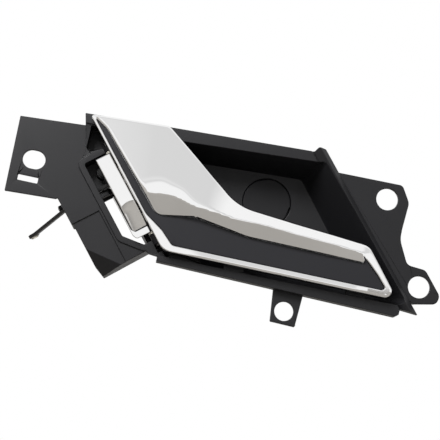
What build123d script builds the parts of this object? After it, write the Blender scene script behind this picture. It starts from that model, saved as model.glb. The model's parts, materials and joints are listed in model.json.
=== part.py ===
from build123d import *
from math import acos, atan2, cos, degrees, hypot, radians, sin
import os

# Interior pull handle of a car door: a chromed lever hinged in a black moulded
# housing with a finger bowl. The part stands upright as it does on the door.
# X runs along the handle, Z is up, and the front faces -Y. The origin is the
# axis of the upper right fixing hole, on the back face of its flange.
# Heights called "front" are distances in front of that face, towards -Y.

# Flanges and fixing holes
plate_thick = 2.5
fixing_hole_dia = 12.1
lower_hole_x = 25.7
lower_hole_z = -43.8
tab_hole_dia = 10.4
tab_hole_x = -43.8
tab_hole_z = -71.8
left_hole_x = -191.5
left_hole_z = -19.3
left_hole_length = 12.2
left_hole_height = 10.3
locating_slot_x = -192.6
locating_slot_z = -30.2
locating_slot_length = 11.0
locating_slot_height = 3.3

# Housing moulding
wall = 2.2
rim_front = 7.6
bay_front = 3.5
bowl_depth = 24.0
mouth_corner = 3.0
floor_corner = 4.0
pocket_depth = 9.0
pocket_floor_thick = 2.0
box_depth = 20.0
ledge_step = 0.8
strip_width = 3.4
strip_height = 1.0
channel_start = -66.0
top_rim_front = 4.4
rim_skin = 1.8
ridge_across = 99.8
ridge_inner = 95.2
ridge_inner_front = 4.0
ridge_outer = 103.8
gusset_reach = 9.0
gusset_places = (31.0, 48.0, 65.0)

# Hinge: the pin leans down and to the right, and "across" is square to it
hinge_x = -149.1
hinge_z = -7.2
hinge_front = 3.0
hinge_lean = 39.5
open_angle = 35.0
pin_radius = 2.5
pin_head_radius = 4.0
pin_head_thick = 1.8
pin_clip_thick = 1.0
pin_clip_radius = 4.4
pin_clip_mouth = 2.6
pin_clip_room = 0.6
pin_groove_depth = 0.6
pin_tail = 1.4
lug_fit = 0.02
running_fit = 0.05
axial_gap = 0.15
press_gap = 0.01
contact_gap = 0.05
upper_lug_start = -6.0
upper_lug_end = -3.0
lower_lug_start = 47.6
lower_lug_end = 53.5
lug_radius = 5.0
washer_thick = 1.0
washer_radius = 4.8
knuckle_radius = 5.0
bush_wall = 1.0
upper_knuckle_end = 11.7
lower_knuckle_start = 36.0
pocket_left = -17.8
pocket_right = 10.3

# Lever
lever_front = 14.4
lever_back = 8.8
lever_wall = 2.0
lever_floor = 11.6
inlay_thick = 1.5
inlay_sink = 0.2
inlay_gap = 0.1
carrier_gap = 0.2
carrier_back = 9.0
wing_skin = 2.0
rib_thick = 1.6
rib_pitch = 12.0
lever_left = -3.4
tail_left = -11.9
tail_right = -6.1
tail_back = 4.8
tail_thick = 1.8

# Chromed hinge cover
cover_left = -12.4
cover_right = -3.8
cover_thick = 1.2
cover_start = -0.8
cover_end = 46.4
cover_lip = 3.8
cover_lip_inset = 1.2

# Cable crank
crank_place = 13.0
crank_thick = 2.3
crank_width = 6.0
crank_hub = 5.0
crank_elbow = (-35.5, -7.3)
crank_tip = (-60.3, -46.4)
cable_eye_radius = 1.6
cable_bush_wall = 0.6
cable_eye_inset = 6.0
rivet_radius = 1.3
rivet_head = 2.1
rivet_head_thick = 0.7
rivet_web_thick = 3.0
crank_slot_gap = 0.4
slot_left = -42.5
slot_right = -5.5
pad_front = -4.8
pad_width = 2.6
pad_right = -12.4

# Return spring
spring_start = 17.0
spring_end = 33.0
spring_radius = 4.6
spring_wire = 1.4
spring_turns = 5
spring_runs = 10
spring_gap = 0.1
spring_foot = -4.5
sleeve_radius = 3.6
sleeve_start = 15.0
sleeve_end = 35.0

# Rubber buffers
buffer_radius = 3.0
buffer_stem = 1.6
buffer_gap = 0.3
stem_gap = 0.1
shelf_front = 6.2
shelf_thick = 2.6
shelf_width = 11.0
shelf_reach = 12.0
rest_buffer_x = (-75.0, -8.0)
rest_buffer_z = -48.6
stop_place = 4.5
stop_across = -10.0
stop_head = 1.5
stop_boss_radius = 3.6

# Blanking cap in the bowl floor
cap_x = -62.2
cap_z = -10.7
cap_radius = 13.3
cap_thick = 1.1
cap_gap = 0.35
cap_skirt_radius = 11.8
cap_skirt_depth = 5.0
cap_skirt_wall = 1.4
cap_bead = 0.45

# Screws that hold the chromed shell to the carrier
screw_radius = 1.3
screw_head_radius = 2.4
screw_head_thick = 1.5
screw_length = 5.5
screw_boss_radius = 2.9
screw_places = ((-130.4, -15.8), (-106.0, -14.0), (-62.0, -31.2), (-24.0, -33.4))

# Front view outlines, X and Z
left_flange = ((-203.8, 2.6), (-166.0, 5.2), (-150.0, -10.0), (-175.5, -37.7), (-203.3, -39.0))
right_flange = (
    (-32.0, 8.8), (7.0, 9.3), (12.2, 0.4), (11.0, -14.6), (11.0, -20.5), (17.2, -33.2),
    (27.6, -34.0), (37.8, -46.4), (36.6, -51.0), (24.0, -53.6), (10.0, -45.0),
)
right_flange_radii = (0, 3.0, 6.0, 30.0, 12.0, 4.0, 4.0, 4.0, 3.0, 0.5, 0)
bottom_tab = ((-52.2, -56.0), (-50.2, -78.6), (-36.6, -79.0), (-35.0, -56.0))
rim_outline = (
    (-169.9, 11.2), (-44.2, 17.0), (-42.5, 19.3), (-38.2, 19.6), (27.4, -59.0), (16.8, -58.2),
    (16.6, -61.6), (15.0, -62.8), (-116.3, -60.2), (-116.3, -57.0), (-121.5, -56.5), (-166.0, -6.0),
)
top_rim = ((-185.0, -8.0), (-185.0, 30.0), (-55.6, 30.0), (-34.2, 4.0), (-120.0, -8.0))
lever_bay = ((-180.0, 5.6), (-120.0, 7.6), (-70.0, -57.0), (-150.0, -57.0), (-200.0, -20.0))
upper_pocket_top = ((-147.0, 6.4), (-165.3, 5.4))
bowl_mouth = ((-146.0, 5.6), (-37.1, 12.6), (22.6, -56.6), (-91.9, -57.0))
bowl_floor = ((-134.1, 1.6), (-45.7, 6.2), (1.9, -54.0), (-90.5, -54.0))

# Outlines along and across the hinge
ledge = (
    (-8.0, -30.0), (-8.0, -8.0), (53.9, -6.0), (54.5, -36.8), (47.4, -38.1), (23.0, -38.1),
    (23.0, -38.9), (6.0, -38.9),
)
pocket_outline = (
    (-3.0, -17.8), (-3.0, 10.3), (50.5, 10.3), (50.5, -9.5), (49.6, -10.4), (41.0, -17.8),
)
window = ((18.5, -17.8), (18.5, -6.5), (49.8, -6.5), (49.8, -9.8), (41.0, -17.8))
upper_pocket_bottom = ((-8.0, -14.4), (-6.0, -5.5), (-6.0, 10.3))
corner_facet = ((38.2, -38.1, 1.7), (54.0, -25.7, 1.7), (54.5, -36.8, -9.0))

# Lever outline and its bends, clockwise from the upper left tip
lever_outline = (
    (-166.9, 9.0), (-124.2, 11.7), (-79.2, -23.3), (-7.5, -29.3), (13.7, -55.0), (-114.3, -54.8),
)
lever_radii = (1.2, 5.0, 30.0, 8.0, 3.6, 9.0)
inlay_lower = (
    (-164.3, 8.1), (-127.0, -37.4), (-116.9, -44.4), (-110.0, -51.3), (7.6, -51.6), (2.3, -43.9),
    (-10.2, -34.0),
)
inlay_lower_radii = (0.3, 12.0, 6.0, 3.0, 1.5, 12.0, 0.4)
wing_edge = ((-7.2, -39.1), (-72.0, -38.4), (-101.0, -33.9), (-121.4, -36.9), (-156.0, 2.6))
wing_edge_radii = (1.0, 40.0, 12.0, 6.0, 0)

# Wing sections from left to right: X, front at the top, crease Z and front, low Z and front
wing_top = 14.0
wing_base = -40.0
wing_sections = (
    (-170.0, 13.2, -24.0, 15.0, -33.0, 14.0),
    (-148.0, 14.2, -25.5, 18.0, -35.0, 15.0),
    (-126.0, 14.4, -26.5, 20.4, -36.5, 15.4),
    (-104.0, 10.8, -28.3, 21.0, -37.0, 15.6),
    (-82.0, -4.0, -30.4, 20.8, -39.0, 15.6),
    (-58.0, -11.5, -31.8, 20.2, -40.5, 15.4),
    (-34.0, -11.0, -33.0, 19.4, -41.5, 15.2),
    (-12.0, -7.5, -34.8, 18.2, -42.0, 15.0),
    (4.0, -4.0, -36.4, 17.4, -42.5, 14.8),
)

# Derived hinge values
along = Vector(sin(radians(hinge_lean)), 0, -cos(radians(hinge_lean)))
across = Vector(cos(radians(hinge_lean)), 0, sin(radians(hinge_lean)))
hinge_point = Vector(hinge_x, -hinge_front, hinge_z)
tail_front = tail_back + tail_thick
cover_back = tail_front + 0.2
cover_front = cover_back + cover_thick
tail_end = cover_end - cover_thick - 0.2
screw_seat = carrier_back + screw_head_thick
crank_start = crank_place - crank_thick / 2
crank_end = crank_place + crank_thick / 2
rivet_web_start = crank_start - rivet_web_thick
rivet_web = ((tail_left, tail_back + 1), (tail_left - 0.6, -1.5), (-6.0, -1.8), (-2.0, 0), (-2.0, 6))
bore_radius = pin_radius + running_fit + bush_wall
upper_knuckle_start = upper_lug_end + axial_gap + washer_thick + axial_gap
lower_knuckle_end = lower_lug_start - axial_gap - washer_thick - axial_gap
pin_start = upper_lug_start - pin_head_thick - axial_gap
pin_end = lower_lug_end + axial_gap + pin_clip_thick + pin_tail


# Placing helpers
def front(height):
    return Plane(origin=(0, -height, 0), x_dir=(1, 0, 0), z_dir=(0, -1, 0))


def hinge_plane(place):
    origin = hinge_point + along * place
    return Plane(origin=(origin.X, 0, origin.Z), x_dir=tuple(across), z_dir=tuple(along))


def seen(place, side):
    point = hinge_point + along * place + across * side
    return (point.X, point.Z)


def shape(points, radius=0):
    if radius == 0:
        return make_face(Polyline(*points, close=True))
    return make_face(FilletPolyline(*points, radius=radius, close=True))


def slab(face, back, height):
    return front(back) * extrude(face, amount=height - back)


def hinge_slab(face, start, end):
    return hinge_plane(start) * extrude(face, amount=end - start)


def round_bar(radius, back, height, x, z):
    return slab(Pos(x, z) * Circle(radius), back, height)


def hinge_bar(radius, start, end, bore=0):
    ring = Pos(0, hinge_front) * Circle(radius)
    if bore:
        ring -= Pos(0, hinge_front) * Circle(bore)
    return hinge_slab(ring, start, end)


def grown(points, radius, amount):
    face = shape(points, radius)
    return offset(face, amount=amount) if amount else face


# Housing
def bowl(grow, height, depth):
    mouth = grown(bowl_mouth, mouth_corner, grow)
    floor = grown(bowl_floor, floor_corner, grow)
    return loft([front(height) * mouth, front(-depth) * floor], ruled=True)


def pocket_face():
    return shape([seen(place, side) for place, side in pocket_outline], (1.5, 1.5, 1.5, 0, 1.5, 1.5))


def upper_pocket_face():
    lower = [seen(place, side) for place, side in upper_pocket_bottom]
    return shape(tuple(lower) + upper_pocket_top, (2.5, 0, 0, 0, 1.0))


def facet_plane(sink):
    points = []
    for place, side, height in corner_facet:
        x, z = seen(place, side)
        points.append(Vector(x, -height, z))
    normal = (points[1] - points[0]).cross(points[2] - points[0]).normalized()
    if normal.Y > 0:
        normal = normal * -1
    return Plane(origin=points[0] - normal * sink, z_dir=normal)


def ledge_box():
    outline = shape([seen(place, side) for place, side in ledge])
    block = split(slab(outline, -box_depth, plate_thick), bisect_by=facet_plane(0), keep=Keep.BOTTOM)
    step = shape([seen(23.0, -40.0), seen(23.0, -22.5), seen(57.0, -22.5), seen(57.0, -40.0)])
    block -= slab(step, plate_thick - ledge_step, plate_thick + 1)
    core = offset(outline, amount=-wall)
    hollow = slab(core, -box_depth - 1, 0)
    return block - split(hollow, bisect_by=facet_plane(wall), keep=Keep.BOTTOM)


def hinge_pocket_walls():
    walls = slab(offset(pocket_face(), amount=wall), -pocket_depth - pocket_floor_thick, plate_thick)
    walls += slab(offset(upper_pocket_face(), amount=wall), -pocket_depth - pocket_floor_thick, plate_thick)
    strip = slab(offset(pocket_face(), amount=strip_width), plate_thick, plate_thick + strip_height)
    return walls + strip


def lower_lug():
    return hinge_bar(lug_radius, lower_lug_start, lower_lug_end)


def upper_lug():
    rib = Pos((pocket_left + pocket_right) / 2, (bay_front - pocket_depth) / 2)
    rib *= Rectangle(pocket_right - pocket_left + 1, bay_front + pocket_depth)
    lug = hinge_bar(lug_radius, upper_lug_start, upper_lug_end)
    return lug + hinge_slab(rib, upper_lug_start, upper_lug_end)


def slot_pad():
    start = crank_end + crank_slot_gap
    pad = Pos((pocket_left + pad_right) / 2, (pad_front - pocket_depth) / 2)
    pad *= Rectangle(pad_right - pocket_left + 1, pad_front + pocket_depth + 1)
    return hinge_slab(pad, start, start + pad_width)


def buffer_shelf(x):
    z = bowl_mouth[3][1] - 1
    tab = shape(
        (
            (x - shelf_width / 2, z),
            (x - shelf_width / 2, z + shelf_reach),
            (x + shelf_width / 2, z + shelf_reach),
            (x + shelf_width / 2, z),
        ),
        2.5,
    )
    foot = slab(Pos(x, z + 2.5) * Rectangle(shelf_width, 5), shelf_front - shelf_thick, shelf_front)
    hole = round_bar(buffer_stem + stem_gap, -5, rim_front, x, rest_buffer_z)
    return slab(tab, shelf_front - shelf_thick, shelf_front) + foot - hole


def flange_gusset(place):
    corner = Vector(*bowl_mouth[1])
    side = Vector(*bowl_mouth[2]) - corner
    down = side.normalized()
    foot = corner + down * place
    wedge = Polyline((0, 0), (gusset_reach, 0), (0, -gusset_reach * 1.4), close=True)
    plane = Plane(origin=(foot.X, 0, foot.Y), x_dir=(-down.Y, 0, down.X), z_dir=(down.X, 0, down.Y))
    return plane * extrude(make_face(wedge), amount=rib_thick / 2, both=True)


def ridge_cut():
    # The right rim comes to a ridge: one slope falls to the top and bottom rims, one to the flange
    room = Polyline(
        (ridge_inner, ridge_inner_front), (ridge_across, rim_front), (ridge_outer, plate_thick),
        (ridge_outer + 8, plate_thick), (ridge_outer + 8, rim_front + 1), (ridge_inner, rim_front + 1),
        close=True,
    )
    return hinge_slab(make_face(room), 40, 160)


def raised_rim():
    # Its right part is a channel, open at the back
    outline = shape(rim_outline)
    channel = offset(outline, amount=-wall) & Pos(0, -20) * Rectangle(-2 * channel_start, 120)
    channel = slab(channel, -1, top_rim_front - rim_skin) - bowl(wall, rim_front, bowl_depth + wall)
    return slab(outline, 0, rim_front) - channel


def fixing_holes():
    holes = round_bar(fixing_hole_dia / 2, -4, plate_thick + 1, 0, 0)
    holes += round_bar(fixing_hole_dia / 2, -4, plate_thick + 1, lower_hole_x, lower_hole_z)
    holes += round_bar(tab_hole_dia / 2, -4, plate_thick + 1, tab_hole_x, tab_hole_z)
    oval = SlotOverall(left_hole_length, left_hole_height)
    holes += slab(Pos(left_hole_x, left_hole_z) * oval, -1, plate_thick + 1)
    slot = RectangleRounded(locating_slot_length, locating_slot_height, 0.5)
    return holes + slab(Pos(locating_slot_x, locating_slot_z) * slot, -1, plate_thick + 1)


def housing():
    body = slab(shape(left_flange), 0, plate_thick)
    body += slab(shape(right_flange, right_flange_radii), 0, plate_thick)
    body += slab(shape(bottom_tab, 0.6), 0, plate_thick)
    body += raised_rim()
    body += ledge_box()
    body += bowl(wall, rim_front, bowl_depth + wall)
    body += hinge_pocket_walls()
    for place in gusset_places:
        body += flange_gusset(place)

    # The lever's tip swings over the top rim, so that is lower than the bottom one
    body -= slab(shape(top_rim), top_rim_front, rim_front + 1)
    body -= ridge_cut()

    # Open the bowl, the lever bay and the two pockets
    body -= bowl(0, rim_front, bowl_depth)
    body -= slab(shape(lever_bay), bay_front, rim_front + 1)
    body -= slab(pocket_face(), -pocket_depth, rim_front + 1)
    body -= slab(upper_pocket_face(), -pocket_depth, rim_front + 1)
    body -= slab(shape([seen(place, side) for place, side in window]), -box_depth, 0)

    # Hinge lugs, bored for the pin, and a pad beside the crank's slot
    body += upper_lug() + lower_lug()
    body += slot_pad()
    body -= hinge_bar(pin_radius + lug_fit, pin_start - 6, pin_end + 6)
    body -= hinge_bar(pin_clip_radius + pin_clip_room, lower_lug_end, pin_end + 2)

    # The crank swings through a slot that is open at the back
    slot = Pos((slot_left + slot_right) / 2, -box_depth / 2) * Rectangle(slot_right - slot_left, box_depth + 2)
    body -= hinge_slab(slot, crank_start - crank_slot_gap, crank_end + crank_slot_gap)

    # Buffer seats
    for x in rest_buffer_x:
        body += buffer_shelf(x)
    stop_x, stop_z = seen(stop_place, stop_across)
    body += round_bar(stop_boss_radius, -pocket_depth - 0.5, stop_seat(), stop_x, stop_z)
    body -= round_bar(buffer_stem + stem_gap, -pocket_depth + 0.5, stop_seat() + 1, stop_x, stop_z)

    # Seat for the blanking cap
    body += round_bar(cap_radius + wall, -bowl_depth - wall - 1.5, -bowl_depth - 0.5, cap_x, cap_z)
    body -= round_bar(cap_radius + cap_gap, -bowl_depth - cap_thick, -bowl_depth + 1, cap_x, cap_z)
    body -= round_bar(cap_skirt_radius + cap_gap, -bowl_depth - 20, -bowl_depth, cap_x, cap_z)
    return body - fixing_holes()


def blanking_cap():
    cap = round_bar(cap_radius, -bowl_depth - cap_thick, -bowl_depth, cap_x, cap_z)
    skirt_back = -bowl_depth - cap_skirt_depth
    cap += round_bar(cap_skirt_radius, skirt_back, -bowl_depth - 0.5, cap_x, cap_z)
    bead_front = -bowl_depth - wall - 1.5 - cap_gap
    cap += round_bar(cap_skirt_radius + cap_bead, skirt_back, bead_front, cap_x, cap_z)
    cap -= round_bar(cap_skirt_radius - cap_skirt_wall, skirt_back - 1, -bowl_depth - cap_thick, cap_x, cap_z)
    for turn in (0, 90):
        gap = Pos(cap_x, cap_z) * Rot(0, 0, turn) * Rectangle(2 * cap_radius, 2.0)
        cap -= slab(gap, skirt_back - 1, -bowl_depth - cap_thick - 0.8)
    return cap


# Hinge
def hinge_pin():
    pin = hinge_bar(pin_radius, pin_start, pin_end)
    pin += hinge_bar(pin_head_radius, pin_start, pin_start + pin_head_thick)
    groove = lower_lug_end + axial_gap
    return pin - hinge_bar(pin_radius + 1, groove, groove + pin_clip_thick, pin_radius - pin_groove_depth)


def pin_clip():
    start = lower_lug_end + axial_gap + contact_gap
    ring = Circle(pin_clip_radius) - Circle(pin_radius - pin_groove_depth + lug_fit)
    ring -= Pos(pin_clip_radius / 2, 0) * Rectangle(pin_clip_radius + 1, pin_clip_mouth)
    return hinge_slab(Pos(0, hinge_front) * ring, start, start + pin_clip_thick - 2 * contact_gap)


def thrust_washer(start):
    return hinge_bar(washer_radius, start, start + washer_thick, pin_radius + running_fit)


def hinge_bush(start, end):
    return hinge_bar(bore_radius - press_gap, start, end, pin_radius + running_fit)


def spring_sleeve():
    return hinge_bar(sleeve_radius, sleeve_start, sleeve_end, pin_radius + running_fit)


def leg_angle(target, turn):
    reach = hypot(target[0], target[1])
    return degrees(atan2(target[1], target[0])) + turn * degrees(acos(spring_radius / reach))


def return_spring():
    # The coil is drawn as short straight runs with mitred joints, which keeps its faces few
    lever_leg = (tail_left + spring_wire, tail_back - spring_wire / 2 - spring_gap - hinge_front)
    floor_leg = (spring_foot, -pocket_depth + spring_wire / 2 + spring_gap - hinge_front)
    first = leg_angle(lever_leg, 1)
    total = spring_turns * 360 + (leg_angle(floor_leg, -1) - first) % 360
    height = spring_end - spring_start
    runs = round(total / 360 * spring_runs)
    points = [(*lever_leg, 0)]
    for step in range(runs + 1):
        angle = radians(first + total * step / runs)
        points.append((spring_radius * cos(angle), spring_radius * sin(angle), height * step / runs))
    points.append((*floor_leg, height))
    path = Polyline(*points)
    section = Plane(origin=path @ 0, z_dir=path % 0) * Circle(spring_wire / 2)
    wire = sweep(section, path=path, transition=Transition.RIGHT)
    return hinge_plane(spring_start) * Pos(0, hinge_front, 0) * wire


# Lever
def lever_face(inset=0):
    return grown(lever_outline, lever_radii, -inset)


def inlay_face(inset=0):
    return grown(inlay_lower + wing_edge, inlay_lower_radii + wing_edge_radii, -inset)


def wing_face(inset=0):
    # What is left of the lever above a line from the inlay's tip along its upper edge to its right end
    tip = inlay_lower[0]
    end = inlay_lower[-1]
    below = ((tip[0], 20.0), (-190.0, 20.0), (-190.0, -80.0), (30.0, -80.0), (30.0, end[1]))
    below = shape((tip,) + below + (end,) + wing_edge, (0,) * 7 + wing_edge_radii)
    face = lever_face() - below
    return offset(face, amount=-inset) if inset else face


def wing_loft(skin=0):
    sections = []
    for x, top_front, crease, crease_front, low, low_front in wing_sections:
        plane = Plane(origin=(x, 0, 0), x_dir=(0, 0, 1), z_dir=(1, 0, 0))
        profile = Polyline(
            (wing_top, wing_base), (wing_top, top_front - skin), (crease, crease_front - skin * 1.15),
            (low, low_front - skin), (low, wing_base), close=True,
        )
        sections.append(plane * make_face(profile))
    return loft(sections)


def wing(skin=0):
    return wing_loft(skin) & slab(wing_face(skin), lever_back, 30)


def lever_shell():
    rim = slab(lever_face(), lever_back, lever_front)
    rim -= slab(inlay_face(), lever_front - inlay_thick, lever_front + 1)
    outside = wing()
    shell = rim + outside - wing(wing_skin)
    for x, z in screw_places:
        shell += round_bar(screw_boss_radius, lever_floor, 25, x, z) & outside
    shell -= slab(lever_face(lever_wall), lever_back - 1, lever_floor)
    for x, z in screw_places:
        shell -= round_bar(screw_radius + 0.02, lever_back, screw_seat + screw_length + 0.4, x, z)
    return shell


def lever_inlay():
    front_face = lever_front - inlay_sink
    return slab(inlay_face(inlay_gap), front_face - inlay_thick + inlay_sink + 0.05, front_face)


def carrier_ribs():
    room = wing_loft(wing_skin + carrier_gap) & slab(wing_face(wing_skin + carrier_gap), lever_floor - 0.6, 30)
    grid = []
    for step in range(8):
        side = lever_left + 8 + step * rib_pitch
        bar = Rectangle(rib_thick, 30)
        grid.append(hinge_slab(Pos(side, lever_floor + 14) * bar, -40, 140))
    ribs = grid[0]
    for bar in grid[1:]:
        ribs += bar
    ribs = ribs & room
    for x, z in screw_places:
        ribs -= round_bar(screw_boss_radius + carrier_gap, 0, 30, x, z)
    return ribs


def knuckle(start, end):
    arm = Polyline(
        (-4.7, 1.8), (-1.1, carrier_back + 0.4), (-1.1, lever_floor - 0.1), (16.5, lever_floor - 0.1),
        (16.5, carrier_back), (4.9, 3.4), (3.8, -0.4), close=True,
    )
    profile = make_face(arm) + Pos(0, hinge_front) * Circle(knuckle_radius)
    return hinge_slab(profile, start, end)


def lever_carrier():
    plate = slab(lever_face(lever_wall + carrier_gap), carrier_back, lever_floor - 0.1)
    body = plate + knuckle(upper_knuckle_start, upper_knuckle_end)
    body += knuckle(lower_knuckle_start, lower_knuckle_end)
    tail = Pos((tail_left + tail_right) / 2, tail_back + tail_thick / 2)
    tail *= Rectangle(tail_right - tail_left, tail_thick)
    body += hinge_slab(tail, upper_knuckle_start, tail_end)
    joint = Pos((tail_left - 3) / 2, tail_back + tail_thick / 2) * Rectangle(-3 - tail_left, tail_thick)
    body += hinge_slab(joint, upper_knuckle_start, upper_knuckle_end)
    body += hinge_slab(joint, lower_knuckle_start, tail_end)
    body += hinge_slab(make_face(Polyline(*rivet_web, close=True)), rivet_web_start, crank_start - contact_gap)
    body -= hinge_bar(bore_radius, upper_knuckle_start - 1, lower_knuckle_end + 1)
    for side, height in rivet_points():
        hole = Pos(side, height) * Circle(rivet_radius)
        body -= hinge_slab(hole, rivet_web_start - 1, crank_place)
    for x, z in screw_places:
        body -= round_bar(screw_radius + 0.3, carrier_back - 1, lever_floor + 1, x, z)
        body -= round_bar(screw_head_radius + 0.1, carrier_back - 1, screw_seat, x, z)
    return body


def hinge_cover():
    width = cover_right - cover_left
    strip = Pos(cover_left + width / 2, cover_back + cover_thick / 2) * Rectangle(width, cover_thick)
    lip_width = width - cover_lip_inset
    lip = Pos(cover_left + lip_width / 2, cover_front - cover_lip / 2) * Rectangle(lip_width, cover_lip)
    plate = hinge_slab(strip, cover_start, cover_end)
    plate += hinge_slab(lip, cover_end - cover_thick, cover_end)
    x, z = seen(cover_end, cover_left + width / 2)
    rolled = plate.edges().sort_by_distance((x, -cover_front, z))[0]
    return fillet(rolled, cover_thick * 0.9)


# Cable crank
def rivet_points():
    return ((-6.5, hinge_front - 1.8), (-10.4, hinge_front - 3.0))


def bar_between(start, end, width):
    run = Vector(end[0] - start[0], end[1] - start[1])
    turn = degrees(atan2(run.Y, run.X))
    middle = ((start[0] + end[0]) / 2, (start[1] + end[1]) / 2)
    return Pos(*middle) * Rot(0, 0, turn) * Rectangle(run.length, width)


def cable_eye():
    run = Vector(crank_tip[0] - crank_elbow[0], crank_tip[1] - crank_elbow[1]).normalized()
    return (crank_tip[0] - run.X * cable_eye_inset, crank_tip[1] - run.Y * cable_eye_inset)


def crank_arm():
    profile = Pos(0, hinge_front) * Circle(crank_hub)
    profile += bar_between((0, hinge_front), crank_elbow, crank_width)
    profile += bar_between(crank_elbow, crank_tip, crank_width)
    profile += Pos(*crank_elbow) * Circle(crank_width / 2)
    profile -= Pos(0, hinge_front) * Circle(pin_radius + 0.4)
    profile -= Pos(*cable_eye()) * Circle(cable_eye_radius + cable_bush_wall)
    for place in rivet_points():
        profile -= Pos(*place) * Circle(rivet_radius)
    return hinge_slab(profile, crank_start, crank_end)


def crank_rivets():
    rivets = []
    for place in rivet_points():
        rivet = hinge_slab(Pos(*place) * Circle(rivet_radius - press_gap), rivet_web_start, crank_end)
        rivet += hinge_slab(Pos(*place) * Circle(rivet_head), crank_end, crank_end + rivet_head_thick)
        rivets.append(rivet)
    return Compound(rivets)


def cable_bush():
    ring = Circle(cable_eye_radius + cable_bush_wall - lug_fit) - Circle(cable_eye_radius)
    return hinge_slab(Pos(*cable_eye()) * ring, crank_start, crank_end)


# Buffers and screws
def rubber_buffer(x, z, seat, head, stem):
    body = round_bar(buffer_radius, seat, seat + head, x, z)
    return body + round_bar(buffer_stem, seat - stem, seat, x, z)


def rest_buffer(x):
    head = carrier_back - buffer_gap - shelf_front
    return rubber_buffer(x, rest_buffer_z, shelf_front, head, shelf_thick + 0.6)


def stop_seat():
    # Where the open lever's tail stops, less the rubber head and its gap
    reach = tail_left
    rise = tail_back - hinge_front
    turn = radians(open_angle)
    corner = hinge_front + reach * sin(turn) + rise * cos(turn)
    return corner - buffer_gap - stop_head


def open_stop_buffer():
    x, z = seen(stop_place, stop_across)
    body = round_bar(buffer_radius - 0.2, stop_seat(), stop_seat() + stop_head, x, z)
    return body + round_bar(buffer_stem, stop_seat() - 3.0, stop_seat(), x, z)


def shell_screws():
    screws = []
    for x, z in screw_places:
        screw = round_bar(screw_radius, screw_seat, screw_seat + screw_length, x, z)
        screw += round_bar(screw_head_radius, carrier_back, screw_seat, x, z)
        drive = RegularPolygon(1.2, 6)
        screw -= slab(Pos(x, z) * drive, carrier_back - 1, screw_seat - 0.6)
        screws.append(screw)
    return Compound(screws)


nodes = {
    "housing": housing,
    "blanking_cap": blanking_cap,
    "hinge_pin": hinge_pin,
    "pin_clip": pin_clip,
    "upper_thrust_washer": lambda: thrust_washer(upper_lug_end + axial_gap),
    "lower_thrust_washer": lambda: thrust_washer(lower_lug_start - axial_gap - washer_thick),
    "upper_hinge_bush": lambda: hinge_bush(upper_knuckle_start, upper_knuckle_end),
    "lower_hinge_bush": lambda: hinge_bush(lower_knuckle_start, lower_knuckle_end),
    "spring_sleeve": spring_sleeve,
    "return_spring": return_spring,
    "lever_carrier": lever_carrier,
    "lever_shell": lever_shell,
    "lever_inlay": lever_inlay,
    "hinge_cover": hinge_cover,
    "crank_arm": crank_arm,
    "crank_rivets": crank_rivets,
    "cable_bush": cable_bush,
    "rest_buffer_inner": lambda: rest_buffer(rest_buffer_x[0]),
    "rest_buffer_outer": lambda: rest_buffer(rest_buffer_x[1]),
    "open_stop_buffer": open_stop_buffer,
    "shell_screws": shell_screws,
}

os.makedirs("parts", exist_ok=True)
for name, make in nodes.items():
    solid = make()
    export_step(solid, f"parts/{name}.step")
    print(name, len(solid.solids()), round(solid.volume))
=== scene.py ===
import json
import math

import bmesh
import bpy
import numpy as np
from mathutils import Matrix, Vector, geometry


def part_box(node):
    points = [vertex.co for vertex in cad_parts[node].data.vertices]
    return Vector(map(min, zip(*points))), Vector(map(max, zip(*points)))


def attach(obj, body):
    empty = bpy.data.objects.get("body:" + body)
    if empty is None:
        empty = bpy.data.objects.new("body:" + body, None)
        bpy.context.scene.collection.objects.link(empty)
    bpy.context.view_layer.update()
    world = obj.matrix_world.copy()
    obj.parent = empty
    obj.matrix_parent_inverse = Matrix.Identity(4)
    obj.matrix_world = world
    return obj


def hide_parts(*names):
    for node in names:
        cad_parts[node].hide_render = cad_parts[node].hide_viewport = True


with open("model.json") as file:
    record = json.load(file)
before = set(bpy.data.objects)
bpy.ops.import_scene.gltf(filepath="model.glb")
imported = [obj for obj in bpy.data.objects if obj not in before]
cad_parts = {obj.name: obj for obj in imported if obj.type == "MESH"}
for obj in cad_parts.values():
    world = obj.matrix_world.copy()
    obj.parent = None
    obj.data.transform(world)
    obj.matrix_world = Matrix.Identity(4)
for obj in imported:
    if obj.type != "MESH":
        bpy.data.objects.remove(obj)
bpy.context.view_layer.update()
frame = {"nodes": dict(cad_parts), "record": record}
scene = bpy.context.scene
print("frame loaded:", len(frame["nodes"]), "nodes")


def addObject(name, data):
    made = bpy.data.objects.new(name, data)
    scene.collection.objects.link(made)
    return made


def plainMesh(holder, name):
    # what an object's modifiers make of it, kept as a plain mesh without them
    made = bpy.data.meshes.new_from_object(holder.evaluated_get(bpy.context.evaluated_depsgraph_get()))
    holder.modifiers.clear()
    bpy.data.objects.remove(holder)
    made.name = name
    return made


# Colours and material helpers
def hexColour(text):
    # sRGB hex to the linear values that the shader sockets take
    levels = [int(text[i:i + 2], 16) / 255 for i in (0, 2, 4)]
    linear = [c / 12.92 if c <= 0.04045 else ((c + 0.055) / 1.055) ** 2.4 for c in levels]
    return (*linear, 1.0)


def addNode(tree, kind, settings=None, links=None, **attributes):
    # one node, its attributes, its socket values, and the links into its sockets
    node = tree.nodes.new(kind)
    for name, value in attributes.items():
        setattr(node, name, value)
    for socket, value in (settings or {}).items():
        node.inputs[socket].default_value = value
    for socket, source in (links or {}).items():
        tree.links.new(source, node.inputs[socket])
    return node


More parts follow.
